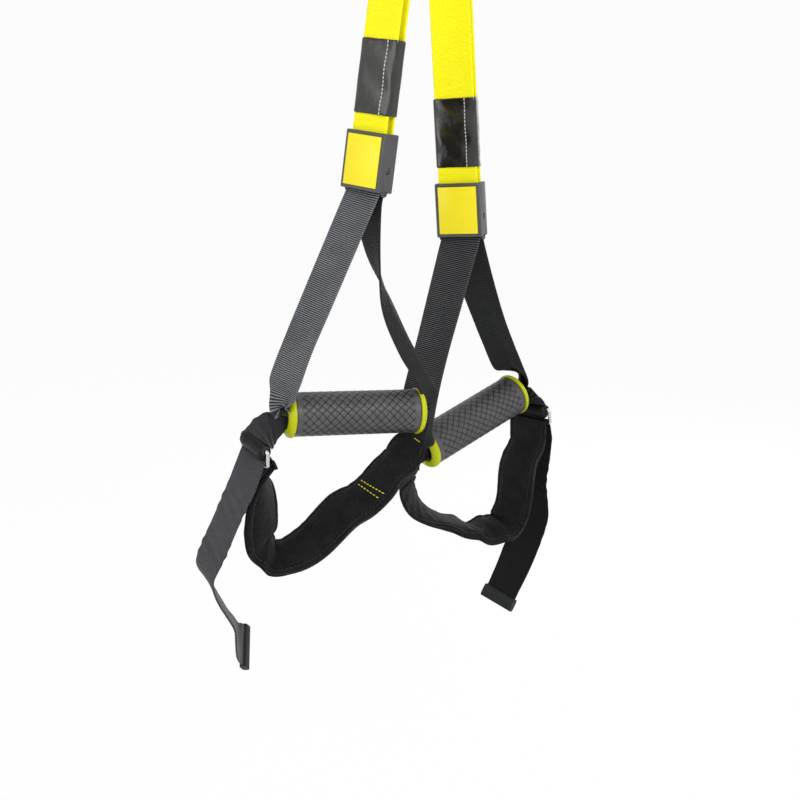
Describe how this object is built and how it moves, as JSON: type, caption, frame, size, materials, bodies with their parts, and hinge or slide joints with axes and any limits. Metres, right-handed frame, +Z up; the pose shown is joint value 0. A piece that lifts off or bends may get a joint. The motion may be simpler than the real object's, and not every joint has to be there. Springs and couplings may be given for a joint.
{
  "type": "suspension trainer",
  "caption": "Suspension trainer: yellow webbing straps with cam buckles, grey keeper sleeves, rubber-gripped handles and padded foot cradles, hung from a carabiner.",
  "frame": {"origin": "hang point: the underside of the carabiner's top bow, where it rests on an anchor", "axes": "+Z up, -Y the front seen in the picture, +X to the viewer's right"},
  "size_m": [0.3271, 0.2233, 1.0554],
  "materials": {
    "webbing_yellow": "woven",
    "webbing_black": "woven",
    "webbing_grey": "ribbed weave",
    "pad_black": "soft pile",
    "cover_black": "gloss",
    "keeper_rubber": "satin",
    "badge_yellow": "satin",
    "grip_rubber": "textured",
    "cap_lime": "gloss",
    "tube_plastic": "satin",
    "steel": "bright",
    "alloy_black": "anodised"
  },
  "bodies": {
    "anchor": {"carabiner_body": "alloy_black", "gate_pin": "steel", "gate_spring": "steel"},
    "gate": {"carabiner_gate": "steel"},
    "anchor_strap": {"anchor_loop": "webbing_black", "anchor_sleeve": "keeper_rubber", "equaliser_bar": "alloy_black"},
    "left_leg": {"left_upper_strap": "webbing_yellow"},
    "left_cam": {"left_cam_frame": "alloy_black", "left_cam_pin": "steel", "left_cam_spring": "steel", "left_adjustment_tab": "webbing_yellow", "left_lower_strap": "webbing_yellow"},
    "left_lever": {"left_cam_lever": "keeper_rubber"},
    "left_keeper": {"left_keeper_sleeve": "keeper_rubber", "left_keeper_lower_bar": "steel", "left_keeper_upper_bar": "steel", "left_badge_plate": "badge_yellow", "left_strap_cover": "cover_black"},
    "left_handle": {"left_front_webbing": "webbing_grey", "left_back_webbing": "webbing_black", "left_core_webbing": "webbing_black"},
    "left_grip": {"left_grip_tube": "tube_plastic", "left_grip_rubber": "grip_rubber", "left_near_cap": "cap_lime", "left_far_cap": "cap_lime"},
    "left_cradle": {"left_cradle_stub": "webbing_black", "left_slider_frame": "steel", "left_cradle_pad": "pad_black", "left_cradle_strap": "webbing_black", "left_tail_webbing": "webbing_grey", "left_tail_stop": "webbing_black"},
    "right_leg": {"right_upper_strap": "webbing_yellow"},
    "right_cam": {"right_cam_frame": "alloy_black", "right_cam_pin": "steel", "right_cam_spring": "steel", "right_adjustment_tab": "webbing_yellow", "right_lower_strap": "webbing_yellow"},
    "right_lever": {"right_cam_lever": "keeper_rubber"},
    "right_keeper": {"right_keeper_sleeve": "keeper_rubber", "right_keeper_lower_bar": "steel", "right_keeper_upper_bar": "steel", "right_badge_plate": "badge_yellow", "right_strap_cover": "cover_black"},
    "right_handle": {"right_front_webbing": "webbing_black", "right_back_webbing": "webbing_black", "right_core_webbing": "webbing_black"},
    "right_grip": {"right_grip_tube": "tube_plastic", "right_grip_rubber": "grip_rubber", "right_near_cap": "cap_lime", "right_far_cap": "cap_lime"},
    "right_cradle": {"right_cradle_stub": "webbing_black", "right_slider_frame": "steel", "right_cradle_pad": "pad_black", "right_cradle_strap": "webbing_black", "right_tail_webbing": "webbing_black", "right_tail_stop": "webbing_black"}
  },
  "joints": [
    {"name": "gate_pivot", "type": "hinge", "parent": "anchor", "child": "gate", "pos_m": [0, -0.026, -0.066], "axis": [-1, 0, 0], "range_deg": [0, 22], "stiffness_Nm_per_rad": 0.02, "springref_deg": -17.19},
    {"name": "anchor_swing", "type": "hinge", "parent": "anchor", "child": "anchor_strap", "pos_m": [0, 0, -0.085], "axis": [0, 1, 0], "range_deg": [-60, 60]},
    {"name": "left_leg_swing", "type": "hinge", "parent": "anchor_strap", "child": "left_leg", "pos_m": [0, -0.04, -0.19], "axis": [0, 1, 0], "range_deg": [0, 50]},
    {"name": "left_cam_slide", "type": "slide", "parent": "left_leg", "child": "left_cam", "axis": [0.1283, -0.0023, 0.9917], "range_m": [-0.1, 0.12], "deforming": ["left_upper_strap"]},
    {"name": "left_lever_pivot", "type": "hinge", "parent": "left_cam", "child": "left_lever", "pos_m": [-0.03334, -0.04948, -0.38233], "axis": [-0.757, 0.6458, 0.0994], "range_deg": [0, 35], "stiffness_Nm_per_rad": 0.02, "springref_deg": -17.19},
    {"name": "left_keeper_slide", "type": "slide", "parent": "left_cam", "child": "left_keeper", "axis": [0.1283, -0.0023, 0.9917], "range_m": [-0.061, 0.051], "deforming": ["left_lower_strap"]},
    {"name": "left_handle_swing", "type": "hinge", "parent": "left_keeper", "child": "left_handle", "pos_m": [-0.056, -0.039, -0.623], "axis": [0.757, -0.6458, -0.0994], "range_deg": [-40, 5]},
    {"name": "left_grip_spin", "type": "hinge", "parent": "left_handle", "child": "left_grip", "pos_m": [-0.067, -0.046, -0.812], "axis": [0.9384, 0.3416, -0.0523], "continuous": true},
    {"name": "left_cradle_swing", "type": "hinge", "parent": "left_handle", "child": "left_cradle", "pos_m": [-0.067, -0.046, -0.812], "axis": [0.9384, 0.3416, -0.0523], "range_deg": [-40, 40]},
    {"name": "right_leg_swing", "type": "hinge", "parent": "anchor_strap", "child": "right_leg", "pos_m": [0, 0.04, -0.19], "axis": [0, -1, 0], "range_deg": [0, 50]},
    {"name": "right_cam_slide", "type": "slide", "parent": "right_leg", "child": "right_cam", "axis": [-0.0604, -0.0131, 0.9981], "range_m": [-0.1, 0.12], "deforming": ["right_upper_strap"]},
    {"name": "right_lever_pivot", "type": "hinge", "parent": "right_cam", "child": "right_lever", "pos_m": [0.00751, 0.03064, -0.39506], "axis": [-0.9253, 0.3758, -0.051], "range_deg": [0, 35], "stiffness_Nm_per_rad": 0.02, "springref_deg": -17.19},
    {"name": "right_keeper_slide", "type": "slide", "parent": "right_cam", "child": "right_keeper", "axis": [-0.0604, -0.0131, 0.9981], "range_m": [-0.061, 0.051], "deforming": ["right_lower_strap"]},
    {"name": "right_handle_swing", "type": "hinge", "parent": "right_keeper", "child": "right_handle", "pos_m": [0.029, 0.0463, -0.6696], "axis": [0.9253, -0.3758, 0.051], "range_deg": [-5, 35]},
    {"name": "right_grip_spin", "type": "hinge", "parent": "right_handle", "child": "right_grip", "pos_m": [0.039, 0.0583, -0.8446], "axis": [0.7494, 0.5855, 0.309], "continuous": true},
    {"name": "right_cradle_swing", "type": "hinge", "parent": "right_handle", "child": "right_cradle", "pos_m": [0.039, 0.0583, -0.8446], "axis": [0.7494, 0.5855, 0.309], "range_deg": [-40, 40]}
  ],
  "couplings": [
    {"joint": "left_keeper_slide", "follows": "left_cam_slide", "ratio": -0.5},
    {"joint": "right_keeper_slide", "follows": "right_cam_slide", "ratio": -0.5}
  ]
}
